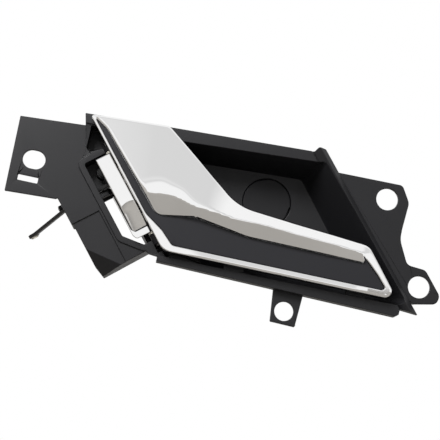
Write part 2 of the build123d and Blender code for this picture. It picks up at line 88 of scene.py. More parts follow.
def newMaterial(name, colour, metallic, roughness, **more):
    material = bpy.data.materials.new(name)
    material.use_nodes = True
    tree = material.node_tree
    shader = tree.nodes["Principled BSDF"]
    shader.inputs["Base Color"].default_value = hexColour(colour)
    shader.inputs["Metallic"].default_value = metallic
    shader.inputs["Roughness"].default_value = roughness
    for socket, value in more.items():
        shader.inputs[socket.replace("_", " ")].default_value = value
    return material, tree, shader


def unevenSurface(tree, shader, patches, span, roughness, relief, strength, depthMm):
    # one noise varies the roughness, with most of its values inside the span, and another is the surface's relief
    spread = addNode(
        tree, "ShaderNodeMapRange",
        {"From Min": span[0], "From Max": span[1], "To Min": roughness[0], "To Max": roughness[1]},
        {"Value": patches.outputs["Fac"]},
    )
    bump = addNode(
        tree, "ShaderNodeBump", {"Strength": strength, "Distance": depthMm / 1000}, {"Height": relief.outputs["Fac"]},
    )
    tree.links.new(spread.outputs["Result"], shader.inputs["Roughness"])
    tree.links.new(bump.outputs["Normal"], shader.inputs["Normal"])


def grainedPlastic(look):
    # spark-eroded mould grain: a fine bump that breaks the gloss into a soft matt sheen
    material, tree, shader = newMaterial(
        look["name"], look["colour"], 0.0, look["roughness"], Specular_IOR_Level=look["level"],
    )
    place = addNode(tree, "ShaderNodeTexCoord").outputs["Object"]
    grain = addNode(tree, "ShaderNodeTexNoise", {"Scale": 1000 / look["grainMm"], "Detail": 2.0}, {"Vector": place})
    broad = addNode(tree, "ShaderNodeTexNoise", {"Scale": 1000 / look["mottleMm"], "Detail": 3.0}, {"Vector": place})
    between = (look["roughness"] - look["mottle"], look["roughness"] + look["mottle"])
    unevenSurface(
        tree, shader, broad, (0.3, 0.7), between, grain, look["grainStrength"], look["grainDepthMm"],
    )
    return material


def platedMetal(look):
    # mirror plating or bright metal: faint long waves bend the reflections, fine streaks haze them
    material, tree, shader = newMaterial(look["name"], look["colour"], 1.0, look["roughness"])
    place = addNode(tree, "ShaderNodeTexCoord").outputs["Object"]
    wave = addNode(tree, "ShaderNodeTexNoise", {"Scale": 1000 / look["waveMm"], "Detail": 1.0}, {"Vector": place})
    haze = addNode(tree, "ShaderNodeTexNoise", {"Scale": 1000 / look["hazeMm"], "Detail": 4.0}, {"Vector": place})
    between = (look["roughness"], look["roughness"] + look["haze"])
    unevenSurface(tree, shader, haze, (0.35, 0.75), between, wave, 1.0, look["waveDepthMm"])
    return material


# Black ABS moulding of the housing, spark-eroded finish: deep black with a soft sheen where it leans to the light
mouldedAbs = grainedPlastic({
    "name": "mouldedBlackAbs", "colour": "1c1c1e", "roughness": 0.44, "mottle": 0.04, "level": 0.24,
    "grainMm": 0.5, "grainDepthMm": 0.012, "grainStrength": 0.6, "mottleMm": 14.0,
})
# The cap comes from another tool: a touch more matt
capAbs = grainedPlastic({
    "name": "mouldedCapAbs", "colour": "1b1b1d", "roughness": 0.5, "mottle": 0.03, "level": 0.2,
    "grainMm": 0.45, "grainDepthMm": 0.01, "grainStrength": 0.6, "mottleMm": 9.0,
})
# Glass-filled nylon: fibres near the skin make it duller and greyer
filledNylon = grainedPlastic({
    "name": "glassFilledNylon", "colour": "1a1a1b", "roughness": 0.6, "mottle": 0.08, "level": 0.35,
    "grainMm": 0.6, "grainDepthMm": 0.02, "grainStrength": 0.7, "mottleMm": 5.0,
})
# Natural acetal of the bearings: milky, slightly waxy
acetal = grainedPlastic({
    "name": "naturalAcetal", "colour": "dedbd0", "roughness": 0.35, "mottle": 0.04, "level": 0.5,
    "grainMm": 0.4, "grainDepthMm": 0.004, "grainStrength": 0.4, "mottleMm": 3.0,
})
# Moulded rubber: no gloss, fine dusty surface
rubber = grainedPlastic({
    "name": "mouldedRubber", "colour": "161616", "roughness": 0.75, "mottle": 0.06, "level": 0.4,
    "grainMm": 0.4, "grainDepthMm": 0.01, "grainStrength": 0.6, "mottleMm": 2.5,
})
# Satin dark grey lacquer over the inlay: smoother and a little lighter than the housing
inlayPaint = grainedPlastic({
    "name": "satinInlayPaint", "colour": "242427", "roughness": 0.36, "mottle": 0.03, "level": 0.18,
    "grainMm": 0.3, "grainDepthMm": 0.003, "grainStrength": 0.5, "mottleMm": 18.0,
})
# Black coated steel of the crank: thin paint with a slight orange peel
coatedSteel = grainedPlastic({
    "name": "blackCoatedSteel", "colour": "19191a", "roughness": 0.42, "mottle": 0.05, "level": 0.35,
    "grainMm": 0.6, "grainDepthMm": 0.008, "grainStrength": 0.5, "mottleMm": 6.0,
})
# Chrome plate on ABS: a near mirror whose reflections bend a little, as on any moulding
chrome = platedMetal({
    "name": "chromePlatedPlastic", "colour": "f3f3f3", "roughness": 0.035, "haze": 0.02,
    "waveMm": 26.0, "waveDepthMm": 0.04, "hazeMm": 6.0,
})
# Drawn and ground steel: bright, with a fine haze
drawnSteel = platedMetal({
    "name": "drawnSteelPin", "colour": "b9b9ba", "roughness": 0.22, "haze": 0.12,
    "waveMm": 3.0, "waveDepthMm": 0.01, "hazeMm": 0.7,
})
# Oiled spring wire: dark grey steel
springSteel = platedMetal({
    "name": "oiledSpringWire", "colour": "6f6e6c", "roughness": 0.28, "haze": 0.14,
    "waveMm": 2.0, "waveDepthMm": 0.01, "hazeMm": 0.6,
})
# Zinc plate: pale, slightly warm and cloudy
zincSteel = platedMetal({
    "name": "zincPlatedSteel", "colour": "c2c1ba", "roughness": 0.3, "haze": 0.12,
    "waveMm": 2.0, "waveDepthMm": 0.015, "hazeMm": 0.8,
})

finishes = {
    "housing_plastic": mouldedAbs, "cap_plastic": capAbs, "carrier_plastic": filledNylon, "chrome_plating": chrome,
    "inlay_paint": inlayPaint, "pin_steel": drawnSteel, "spring_steel": springSteel, "zinc_steel": zincSteel,
    "crank_steel": coatedSteel, "bearing_plastic": acetal, "buffer_rubber": rubber,
}
slotOf = {row["node"]: row["material_slot"] for row in frame["record"]["subparts"]}
for node, slot in slotOf.items():
    for place in frame["nodes"][node].material_slots:
        place.material = finishes[slot]
print("materials on", len(slotOf), "nodes")


# Mesh helpers: outlines are lists of (x, z) in millimetres in the front view, heights are in front of the door face
outlines = {"piecesPerRadian": 3.0, "smallestBend": 0.05, "batch": 2000}


def turnedArea(corners):
    # twice the area inside the corners, above zero where they run anticlockwise
    return sum(a[0] * b[1] - b[0] * a[1] for a, b in zip(corners, corners[1:] + corners[:1]))


def cornerTurn(corners, i):
    # the directions into a corner and out of it, and the turn between them
    arrive = corners[i] - corners[i - 1]
    leave = corners[(i + 1) % len(corners)] - corners[i]
    arrive, leave = arrive / np.linalg.norm(arrive), leave / np.linalg.norm(leave)
    return arrive, leave, math.atan2(arrive[0] * leave[1] - arrive[1] * leave[0], arrive.dot(leave))


def roundedPath(corners, radii, step):
    # a closed outline, anticlockwise as the camera sees it, with its corners rounded and its runs divided
    corners = [np.array(c, float) for c in corners]
    if turnedArea(corners) < 0:
        corners, radii = corners[::-1], radii[::-1]
    points = []
    for i, corner in enumerate(corners):
        arrive, _, turn = cornerTurn(corners, i)
        radius = radii[i]
        start = corner - arrive * radius * abs(math.tan(turn / 2))
        pieces = max(1, math.ceil(abs(turn) * max(radius / step, outlines["piecesPerRadian"]))) if radius else 0
        centre = start + np.array((-arrive[1], arrive[0])) * math.copysign(radius, turn)
        spoke = start - centre
        for k in range(pieces + 1):
            bend = turn * k / max(pieces, 1)
            points.append(centre + np.array((
                spoke[0] * math.cos(bend) - spoke[1] * math.sin(bend),
                spoke[0] * math.sin(bend) + spoke[1] * math.cos(bend),
            )))
    path = []
    for a, b in zip(points, points[1:] + points[:1]):
        pieces = math.ceil(np.linalg.norm(b - a) / step)
        path += [a + (b - a) * k / pieces for k in range(pieces)] if pieces else []
    return np.array(path)


def insetCorners(corners, radii, distance):
    # the same corners moved inwards, with the radii that a parallel outline has
    corners = [np.array(c, float) for c in corners]
    side = math.copysign(1.0, turnedArea(corners))
    moved, bends = [], []
    for i, corner in enumerate(corners):
        arrive, leave, turn = cornerTurn(corners, i)
        turn = turn * side
        inward = np.array((-arrive[1], arrive[0])) * side + np.array((-leave[1], leave[0])) * side
        moved.append(corner + inward / (1 + math.cos(turn)) * distance)
        bends.append(max(radii[i] - math.copysign(distance, turn), outlines["smallestBend"]))
    return moved, bends


def distanceTo(path, points):
    # shortest way from each point to a closed outline, a batch of points at a time
    ends = np.roll(path, -1, axis=0)
    run = ends - path
    length = (run ** 2).sum(axis=1)
    best = np.full(len(points), 1e9)
    for first in range(0, len(points), outlines["batch"]):
        last = first + outlines["batch"]
        part = points[first:last, None, :] - path[None]
        along = np.clip((part * run).sum(axis=2) / length, 0, 1)
        best[first:last] = np.sqrt(((part - along[..., None] * run) ** 2).sum(axis=2).min(axis=1))
    return best


def insideOf(path, points):
    # whether each point lies inside a closed outline
    ends = np.roll(path, -1, axis=0)
    within = np.zeros(len(points), bool)
    for a, b in zip(path, ends):
        crosses = (a[1] > points[:, 1]) != (b[1] > points[:, 1])
        reach = a[0] + (points[:, 1] - a[1]) * (b[0] - a[0]) / (b[1] - a[1] if b[1] != a[1] else 1e-12)
        within ^= crosses & (points[:, 0] < reach)
    return within


def edgeDrop(distance, radius):
    # how far a quarter round of this radius falls at a distance from the edge
    room = np.clip(radius - distance, 0, radius)
    return radius - np.sqrt(radius ** 2 - room ** 2)


def flatAt(front):
    # the height of a flat skin
    return lambda p: np.full(len(p), front)


# Rings of points follow an outline at these shares of its edge's radius, and a grid fills the area inside them
skinning = {
    "rings": (0.06, 0.22, 0.46, 0.76, 1.15), "ringClear": 0.97, "ringStep": 0.3, "gridClear": 0.6, "rowStep": 0.866,
    "merge": 1e-5, "nudge": 0.02,
}


class PlateMaker:
    # collects the skins and walls of one closed moulding, in millimetres, and makes its mesh in metres
    def __init__(self):
        self.points, self.faces, self.leans = [], [], {}

    def skin(self, loops, height, radius=0, spacing=0, facesFront=True):
        # a surface over the area inside the first outline and outside the others; returns each outline's points
        seeds = [p for loop in loops for p in loop]
        links, first = [], 0
        for loop in loops:
            links += [(first + k, first + (k + 1) % len(loop)) for k in range(len(loop))]
            first += len(loop)
        edgeCount = len(seeds)
        inner = []
        if radius:
            for share in skinning["rings"]:
                gap = share * radius
                for number, loop in enumerate(loops):
                    run = np.roll(loop, -1, axis=0) - np.roll(loop, 1, axis=0)
                    normal = np.stack((-run[:, 1], run[:, 0]), axis=1) / np.linalg.norm(run, axis=1)[:, None]
                    ring = loop + normal * gap * (1 if number == 0 else -1)
                    nearest, apart = gap * skinning["ringClear"], skinning["ringStep"] * spacing
                    inner.append(self.clear(ring, loops, nearest, apart))
        if spacing:
            low, high = loops[0].min(axis=0), loops[0].max(axis=0)
            columns = np.arange(low[0], high[0], spacing)
            rows = np.arange(low[1], high[1], spacing * skinning["rowStep"])
            grid = np.array([(x + spacing * 0.5 * (j % 2), z) for j, z in enumerate(rows) for x in columns])
            inner.append(self.clear(grid, loops, skinning["rings"][-1] * radius + skinning["gridClear"] * spacing, 0))
        for part in inner:
            seeds += list(part)
        found = geometry.delaunay_2d_cdt([Vector(p) for p in seeds], links, [], 0, skinning["merge"])
        flat = np.array([tuple(v) for v in found[0]])
        triangles = np.array(found[2])
        middle = flat[triangles].mean(axis=1)
        keep = insideOf(loops[0], middle)
        for hole in loops[1:]:
            keep &= ~insideOf(hole, middle)
        levels = height(flat)
        base = len(self.points)
        self.points += [(x, -f, z) for (x, z), f in zip(flat, levels)]
        if facesFront and spacing:
            nudge = skinning["nudge"]
            slopeX = (height(flat + (nudge, 0)) - height(flat - (nudge, 0))) / (2 * nudge)
            slopeZ = (height(flat + (0, nudge)) - height(flat - (0, nudge))) / (2 * nudge)
        place, edge = {}, set()
        for index, sources in enumerate(found[3]):
            for source in sources:
                place[source] = base + index
                if source < edgeCount:
                    edge.add(index)
        for triangle in triangles[keep]:
            corners = [int(base + k) for k in (triangle if facesFront else triangle[::-1])]
            if facesFront and spacing:
                # the height's own slope gives a mirror face truer normals than its triangles do
                self.leans[len(self.faces)] = [
                    (0, 0, 0) if k in edge else Vector((-slopeX[k], -1.0, -slopeZ[k])).normalized() for k in triangle
                ]
            self.faces.append(corners)
        result, first = [], 0
        for loop in loops:
            result.append([place[first + k] for k in range(len(loop))])
            first += len(loop)
        return result

    def clear(self, points, loops, gap, apart):
        # drops the points outside the area, too near an outline, or too near the one before
        keep = np.ones(len(points), bool)
        for number, loop in enumerate(loops):
            keep &= insideOf(loop, points) == (number == 0)
            keep &= distanceTo(loop, points) >= gap
        points = points[keep]
        if apart and len(points):
            kept = [points[0]]
            for p in points[1:]:
                if np.linalg.norm(p - kept[-1]) >= apart:
                    kept.append(p)
            points = np.array(kept)
        return points

    def wall(self, frontLoop, backLoop, inward=False):
        # joins an outline to the same outline further back, facing out of it or, for a recess, into it
        for k in range(len(frontLoop)):
            following = (k + 1) % len(frontLoop)
            corners = [frontLoop[k], backLoop[k], backLoop[following], frontLoop[following]]
            self.faces.append(corners[::-1] if inward else corners)

    def slab(self, loops, height, back, radius=0, spacing=0):
        # a closed plate: its front, its flat back, and the walls round it and in its holes
        fronts = self.skin(loops, height, radius, spacing)
        backs = self.skin(loops, flatAt(back), facesFront=False)
        for number, (frontLoop, backLoop) in enumerate(zip(fronts, backs)):
            self.wall(frontLoop, backLoop, inward=number > 0)

    def cornerNormals(self):
        return [lean for k, face in enumerate(self.faces) for lean in self.leans.get(k, [(0, 0, 0)] * len(face))]

    def make(self, name):
        mesh = bpy.data.meshes.new(name)
        mesh.from_pydata([(x / 1000, y / 1000, z / 1000) for x, y, z in self.points], [], self.faces)
        return mesh


def finishPiece(name, mesh, body, node, maker=None, sharp=50.0, replaces=True):
    # smooth shading with edges sharp past an angle, the slot's finish, and its place among the frame's bodies
    if sharp:
        build = bmesh.new()
        build.from_mesh(mesh)
        for face in build.faces:
            face.smooth = True
        for edge in build.edges:
            edge.smooth = len(edge.link_faces) == 2 and edge.calc_face_angle() < math.radians(sharp)
        build.to_mesh(mesh)
        build.free()
    if maker:
        mesh.normals_split_custom_set(maker.cornerNormals())
    mesh.materials.clear()
    mesh.materials.append(finishes[slotOf[node]])
    piece = addObject(name, mesh)
    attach(piece, body)
    if replaces:
        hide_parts(node)
    return piece


def smoothTable(rows, column):
    # a smooth curve through the table's values, read by x
    xs = np.array([row[0] for row in rows])
    ys = np.array([row[column] for row in rows])
    slopes = np.gradient(ys, xs)

    def read(x):
        x = np.clip(x, xs[0], xs[-1])
        i = np.clip(np.searchsorted(xs, x) - 1, 0, len(xs) - 2)
        span = xs[i + 1] - xs[i]
        t = (x - xs[i]) / span
        return (
            ys[i] * (2 * t ** 3 - 3 * t ** 2 + 1) + slopes[i] * span * (t ** 3 - 2 * t ** 2 + t)
            + ys[i + 1] * (3 * t ** 2 - 2 * t ** 3) + slopes[i + 1] * span * (t ** 3 - t ** 2)
        )
    return read


def softMin(a, b, width):
    # the lower of two heights, with a soft change where they cross
    share = np.clip(0.5 + 0.5 * (b - a) / width, 0, 1)
    return b * (1 - share) + a * share - width * share * (1 - share)


def softStep(value, low, high):
    # rises from 0 at the first value to 1 at the second
    t = np.clip((value - low) / (high - low), 0, 1)
    return t * t * (3 - 2 * t)


# Hinge: places along it and across it, as in the front view
hinge = {"x": -149.1, "z": -7.2, "lean": 39.5, "front": 3.0}
hingeAlong = np.array((math.sin(math.radians(hinge["lean"])), -math.cos(math.radians(hinge["lean"]))))
hingeAcross = np.array((math.cos(math.radians(hinge["lean"])), math.sin(math.radians(hinge["lean"]))))
hingePoint = np.array((hinge["x"], hinge["z"]))


def hingePlace(t, s, f):
    # metres, from a place along the hinge, across it and in front of the door face
    x, z = hingePoint + hingeAlong * t + hingeAcross * s
    return (x / 1000, -f / 1000, z / 1000)


# Chromed lever: a frame round the inlay, whose top side widens into the creased wing
lever = {
    "outline": ((-166.9, 9.0), (-124.2, 11.7), (-79.2, -23.3), (-7.5, -29.3), (13.7, -55.0), (-114.3, -54.8)),
    "bends": (1.2, 5.0, 30.0, 8.0, 3.6, 9.0),
    "inlayLower": (
        (-164.3, 8.1), (-127.0, -37.4), (-116.9, -44.4), (-110.0, -51.3), (7.3, -51.6), (0.4, -44.1), (-10.4, -34.0),
    ),
    "inlayLowerBends": (0.3, 12.0, 6.0, 3.0, 1.5, 12.0, 0.4),
    "wingEdge": ((-7.2, -39.1), (-72.0, -38.4), (-101.0, -33.9), (-121.4, -36.9), (-156.0, 2.6)),
    "wingEdgeBends": (1.0, 40.0, 12.0, 6.0, 20.0),
    "wingBounds": ((-10.2, -34.0), (40.0, -34.0), (40.0, 30.0), (-164.3, 30.0), (-164.3, 8.1)),
    "back": 8.8, "floor": 11.6, "recess": 12.9, "wall": 2.0, "step": 0.9, "grid": 0.8,
    "outerRound": 1.2, "wingRound": 0.3, "rimRound": 0.4,
    # the rim rises away from the inlay, less so beside the hinge, where its outer edge is sharper too
    "rimFront": 14.25, "rimRise": 0.07, "rimReach": 4.0, "besideHinge": (3.0, 14.0), "flatter": 0.8, "sharper": 0.7,
    # how the wing's faces run into each other and into the rim; the upper crease is softer on the left
    "bandLean": 0.035, "upperCrease": 0.12, "softer": 0.5, "softerZone": (-84.0, -112.0), "lowerCrease": 0.15,
    "rimCrease": 0.3, "endZone": (-11.0, -3.0), "endFront": 14.6, "endLean": 0.11, "endFoot": -53.0, "endCrease": 0.1,
    # the soft edge along the wing's left side
    "easeZone": (-114.0, -124.0), "ease": 0.15, "easeReach": 1.8,
    "topLevel": 14.0,
    # x, front at the top level, foot of the light band z and front, top of the band z,
    # z and front low on the lower face
    "sections": (
        (-170.0, 14.7, -28.0, 17.4, -25.0, -37.0, 15.0),
        (-148.0, 14.6, -28.0, 18.2, -24.0, -37.0, 15.2),
        (-134.0, 14.4, -27.9, 19.1, -24.0, -37.0, 15.3),
        (-128.0, 14.4, -27.4, 19.5, -20.7, -36.8, 15.4),
        (-122.0, 14.2, -26.6, 19.8, -18.9, -36.6, 15.4),
        (-117.0, 13.6, -26.2, 20.0, -19.8, -36.6, 15.5),
        (-110.0, 12.2, -27.4, 20.2, -21.6, -36.7, 15.5),
        (-104.0, 10.8, -29.2, 20.4, -25.5, -37.0, 15.6),
        (-96.0, 6.5, -30.1, 20.5, -28.0, -37.6, 15.6),
        (-88.0, 0.5, -30.9, 20.5, -29.8, -38.4, 15.6),
        (-79.0, -5.5, -32.0, 20.4, -31.1, -39.2, 15.6),
        (-68.9, -9.5, -31.6, 20.2, -30.9, -39.8, 15.5),
        (-58.4, -11.5, -32.0, 20.0, -31.5, -40.5, 15.4),
        (-44.6, -11.5, -32.9, 19.5, -32.4, -41.0, 15.3),
        (-30.9, -10.0, -33.4, 18.8, -33.0, -41.6, 15.2),
        (-17.1, -7.0, -34.1, 17.5, -33.7, -42.0, 14.9),
        (4.0, -4.0, -36.4, 16.8, -36.0, -42.5, 14.6),
    ),
}
inlayCorners = lever["inlayLower"] + lever["wingEdge"]
inlayBends = lever["inlayLowerBends"] + lever["wingEdgeBends"]
outerPath = roundedPath(lever["outline"], lever["bends"], lever["step"])
inlayPath = roundedPath(inlayCorners, inlayBends, lever["step"])
wingSide = np.array([*lever["wingEdge"][::-1], *lever["wingBounds"]])
readSection = [smoothTable(lever["sections"], k) for k in range(1, 7)]


def wingHeight(p):
    # three leaning faces that run softly into each other
    x, z = p[:, 0], p[:, 1]
    topFront, foot, footFront, top, low, lowFront = (read(x) for read in readSection)
    band = footFront + lever["bandLean"] * (z - foot)
    bandTop = footFront + lever["bandLean"] * (top - foot)
    upper = bandTop - (bandTop - topFront) / (lever["topLevel"] - top) * (z - top)
    lower = footFront - (footFront - lowFront) / (foot - low) * (foot - z)
    soft = lever["upperCrease"] + lever["softer"] * softStep(x, *lever["softerZone"])
    return softMin(softMin(upper, band, soft), lower, lever["lowerCrease"])


def leverHeight(p):
    x, z = p[:, 0], p[:, 1]
    toInlay = distanceTo(inlayPath, p)
    nearHinge = 1 - softStep((p - hingePoint) @ hingeAcross, *lever["besideHinge"])
    rise = lever["rimRise"] * (1 - lever["flatter"] * nearHinge)
    rim = lever["rimFront"] + rise * np.minimum(toInlay, lever["rimReach"])
    onWing = insideOf(wingSide, p)
    height = np.where(onWing, -softMin(-wingHeight(p), -rim, lever["rimCrease"]), rim)
    # round the right end the wing's upper face runs down into the rim
    tongue = onWing & (z < lever["wingBounds"][0][1])
    end = -softMin(-(lever["endFront"] + lever["endLean"] * (z - lever["endFoot"])), -rim, lever["endCrease"])
    share = np.where(tongue, 0.0, softStep(x, *lever["endZone"]))
    height = height + (end - height) * share
    # the soft edge on the left catches the bright horizon
    leftSide = onWing * softStep(x, *lever["easeZone"])
    height = height - lever["ease"] * leftSide * np.maximum(lever["easeReach"] - toInlay, 0) ** 2
    inner = np.where(onWing, lever["wingRound"], lever["rimRound"])
    outer = lever["outerRound"] * (1 - lever["sharper"] * nearHinge * (1 - onWing))
    return height - edgeDrop(distanceTo(outerPath, p), outer) - edgeDrop(toInlay, inner)


shell = PlateMaker()
front, recessTop = shell.skin([outerPath, inlayPath], leverHeight, lever["outerRound"], lever["grid"])
recessFloor, = shell.skin([inlayPath], flatAt(lever["recess"]))
shell.wall(recessTop, recessFloor, inward=True)
innerCorners = insetCorners(lever["outline"], lever["bends"], lever["wall"])
innerPath = roundedPath(*innerCorners, lever["step"])
backRim, backInner = shell.skin([outerPath, innerPath], flatAt(lever["back"]), facesFront=False)
shell.wall(front, backRim)
ceiling, = shell.skin([innerPath], flatAt(lever["floor"]), facesFront=False)
shell.wall(ceiling, backInner, inward=True)
leverShell = finishPiece("leverShell", shell.make("leverShell"), "lever", "lever_shell", shell)
print("lever shell:", len(leverShell.data.polygons), "faces")

# Dark inlay, lacquered
inlay = {"gap": 0.15, "front": 14.2, "round": 0.35, "back": 12.95, "step": 1.2, "grid": 3.0}
inlayEdge = roundedPath(*insetCorners(inlayCorners, inlayBends, inlay["gap"]), inlay["step"])


def inlayHeight(p):
    return inlay["front"] - edgeDrop(distanceTo(inlayEdge, p), inlay["round"])


panel = PlateMaker()
panel.slab([inlayEdge], inlayHeight, inlay["back"], inlay["round"], inlay["grid"])
finishPiece("leverInlay", panel.make("leverInlay"), "lever", "lever_inlay")

# Chromed cover over the lever's tail, with a lip round its lower end. It bows back along its length, so its
# lower end mirrors the floor. Places are across the hinge and along it
cover = {
    "corners": ((-12.1, -0.8), (-3.8, -0.8), (-3.8, 42.3), (-12.1, 42.3)), "bends": (0.5, 0.3, 0.5, 1.6),
    "lip": (
        (-13.2, 22.0), (-12.6, 20.0), (-12.6, 40.7), (-11.0, 42.8),
        (-3.8, 42.8), (-3.8, 46.4), (-12.0, 46.4), (-13.2, 43.8),
    ),
    "lipBends": (0.3, 0.1, 1.4, 1.4, 0.2, 0.6, 1.6, 2.0),
    "seat": ((-13.0, 21.0), (-6.2, 21.0), (-6.2, 46.0), (-11.8, 46.0), (-13.0, 43.6)), "seatBends": (0.5,) * 5,
    "back": 6.8, "front": 10.7, "round": 0.5, "lipFront": 7.9, "lipFall": 0.08, "lipFallFrom": 40.0, "lipRound": 0.25,
    "seatBack": 6.1, "seatFront": 6.78, "step": 0.4, "grid": 0.32, "seatStep": 2.0,
    # the bow starts later towards the sides, and the face leans across where the bow begins
    "bowFrom": 29.5, "bowLead": 8.0, "bowLength": 9.5, "bowSlope": 0.165,
    "bowCurve": 1.2, "bowMiddle": -7.9, "bowHalf": 4.2, "lean": 0.06, "leanEdge": -3.8, "leanZone": (22.0, 32.0),
}


def fromHinge(points):
    return [hingePoint + hingeAcross * s + hingeAlong * t for s, t in points]


coverPath = roundedPath(fromHinge(cover["corners"]), cover["bends"], cover["step"])
lipPath = roundedPath(fromHinge(cover["lip"]), cover["lipBends"], cover["step"])
seatPath = roundedPath(fromHinge(cover["seat"]), cover["seatBends"], cover["seatStep"])


def coverHeight(p):
    t, s = (p - hingePoint) @ hingeAlong, (p - hingePoint) @ hingeAcross
    aside = (s - cover["bowMiddle"]) / cover["bowHalf"]
    start = cover["bowFrom"] + cover["bowCurve"] * aside ** 2 - cover["bowLead"]
    share = np.clip((t - start) / cover["bowLength"], 0, 1)
    past = np.maximum(t - start - cover["bowLength"], 0)
    height = cover["front"] - cover["bowSlope"] * (cover["bowLength"] * (share ** 3 - share ** 4 / 2) + past)
    height = height - cover["lean"] * (cover["leanEdge"] - s) * softStep(t, *cover["leanZone"])
    return height - edgeDrop(distanceTo(coverPath, p), cover["round"])


def lipHeight(p):
    t = (p - hingePoint) @ hingeAlong
    front = cover["lipFront"] - cover["lipFall"] * np.maximum(t - cover["lipFallFrom"], 0)
    return front - edgeDrop(distanceTo(lipPath, p), cover["lipRound"])


plate = PlateMaker()
plate.slab([coverPath], coverHeight, cover["back"], cover["round"], cover["grid"])
plate.slab([lipPath], lipHeight, cover["back"], cover["lipRound"], cover["grid"])
finishPiece("hingeCover", plate.make("hingeCover"), "lever", "hinge_cover", plate)
seat = PlateMaker()
seat.slab([seatPath], flatAt(cover["seatFront"]), cover["seatBack"])
finishPiece("coverSeat", seat.make("coverSeat"), "lever", "lever_carrier", replaces=False)
print("inlay and hinge cover made")

# Housing: the moulding's own faces, with the rounded edges of a real mould. Draft leans the hinge box's left wall
housing = {
    "round": 0.3, "segments": 2, "sharp": 25.0,
    "draft": 0.075, "draftFrom": -28.0, "draftEase": 2.0, "draftAlong": (-9.0, 57.0),
}
# Triangles are welded and joined back into flat faces, in millimetres and degrees, and slivers close up
joining = {"weld": 0.002, "flat": 0.8, "shape": 60.0, "sliver": 0.06}
backRibs = (
    # along the hinge, across it and in front of the door face, from and to: the web behind the crank's slot
    ((8.9, 11.4), (-40.0, -8.0), (-19.0, -10.8)),
    ((8.9, 11.4), (-16.0, -8.0), (-24.0, -19.0)),
    ((11.4, 14.5), (-16.0, -8.0), (-24.0, -21.5)),
    # the cup behind the pin's lower end
    ((52.4, 60.0), (-6.0, 6.0), (-4.2, -2.1)),
    ((52.4, 60.0), (-6.0, -4.4), (-2.2, 0.3)),
    ((52.4, 60.0), (4.4, 6.0), (-2.2, 0.3)),
    ((58.4, 60.0), (-6.0, 6.0), (-2.2, 0.3)),
    # the slot pad's lower side, beside the crank
    ((14.55, 17.15), (-18.3, -12.8), (-5.0, -1.6)),
    ((15.0, 17.15), (-18.3, -9.0), (-12.2, -5.0)),
)


def hingeBlock(build, along, across, front):
    # adds a block that lies square to the hinge
    corners = []
    for f in front:
        for t, s in ((along[0], across[0]), (along[0], across[1]), (along[1], across[1]), (along[1], across[0])):
            corners.append(build.verts.new(hingePlace(t, s, f)))
    faces = [corners[:4], corners[4:]]
    for k in range(4):
        following = (k + 1) % 4
        faces.append([corners[k], corners[following], corners[following + 4], corners[k + 4]])
    made = [build.faces.new(face) for face in faces]
    for face in made:
        face.smooth = True
    bmesh.ops.recalc_face_normals(build, faces=made)


def mergedCopy(node):
    # a CAD node's triangles, closed up and paired back into flat quads
    build = bmesh.new()
    build.from_mesh(frame["nodes"][node].data)
    bmesh.ops.remove_doubles(build, verts=build.verts, dist=joining["weld"] / 1000)
    bmesh.ops.join_triangles(
        build, faces=build.faces, angle_face_threshold=math.radians(joining["flat"]),
        angle_shape_threshold=math.radians(joining["shape"]),
    )
    bmesh.ops.remove_doubles(build, verts=build.verts, dist=joining["sliver"] / 1000)
    for face in build.faces:
        face.smooth = True
    return build


def applyModifiers(mesh, name, modifiers):
    holder = addObject(name, mesh)
    for kind, values in modifiers:
        modifier = holder.modifiers.new(kind.lower(), kind)
        for key, value in values.items():
            setattr(modifier, key, value)
    return plainMesh(holder, name)


def roundEdges(build, name, look, node):
    # rounded edges that stay in the node's own box
    mesh = bpy.data.meshes.new(name)
    build.to_mesh(mesh)
    build.free()
    made = applyModifiers(mesh, name, [("BEVEL", {
        "width": look["round"] / 1000, "segments": look["segments"], "limit_method": "ANGLE",
        "angle_limit": math.radians(look["sharp"]), "use_clamp_overlap": False, "miter_outer": "MITER_SHARP",
    }), ("WEIGHTED_NORMAL", {"mode": "FACE_AREA", "weight": 100, "keep_sharp": False})])
    low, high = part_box(node)
    for vert in made.vertices:
        vert.co = [min(max(value, least), most) for value, least, most in zip(vert.co, low, high)]
    return made


build = mergedCopy("housing")
for vert in build.verts:
    p = np.array((vert.co.x, vert.co.z)) * 1000 - hingePoint
    t, s, f = p @ hingeAlong, p @ hingeAcross, -vert.co.y * 1000
    if f < 0 and housing["draftAlong"][0] < t < housing["draftAlong"][1] and s < housing["draftFrom"]:
        share = min(1.0, (housing["draftFrom"] - s) / housing["draftEase"])
        lean = hingeAcross * share * housing["draft"] * -f / 1000
        vert.co.x += lean[0]
        vert.co.z += lean[1]
for block in backRibs:
    hingeBlock(build, *block)
rounded = roundEdges(build, "housingMoulding", housing, "housing")
finishPiece("housingMoulding", rounded, "base", "housing", sharp=None)
print("housing edges rounded")

# Carrier under the chromed shell, and the cap in the bowl's floor
smallEdges = {
    "leverCarrier": {"node": "lever_carrier", "body": "lever", "round": 0.25, "segments": 2, "sharp": 25.0},
    "blankingCap": {"node": "blanking_cap", "body": "base", "round": 0.5, "segments": 3, "sharp": 25.0},
}
for name, look in smallEdges.items():
    build = mergedCopy(look["node"])
    finishPiece(name, roundEdges(build, name, look, look["node"]), look["body"], look["node"], sharp=None)
print("carrier and cap edges rounded")


# Geometry Nodes: wire swept along a path, and headed pins set on marked places
def nodeTree(name, inputs):
    # a geometry tree with its named inputs and one output
    tree = bpy.data.node_groups.new(name, "GeometryNodeTree")
    tree.is_modifier = True
    tree.interface.new_socket("Geometry", in_out="INPUT", socket_type="NodeSocketGeometry")
    for label, kind in inputs:
        tree.interface.new_socket(label, in_out="INPUT", socket_type="NodeSocket" + kind)
    tree.interface.new_socket("Geometry", in_out="OUTPUT", socket_type="NodeSocketGeometry")
    return tree, addNode(tree, "NodeGroupInput").outputs


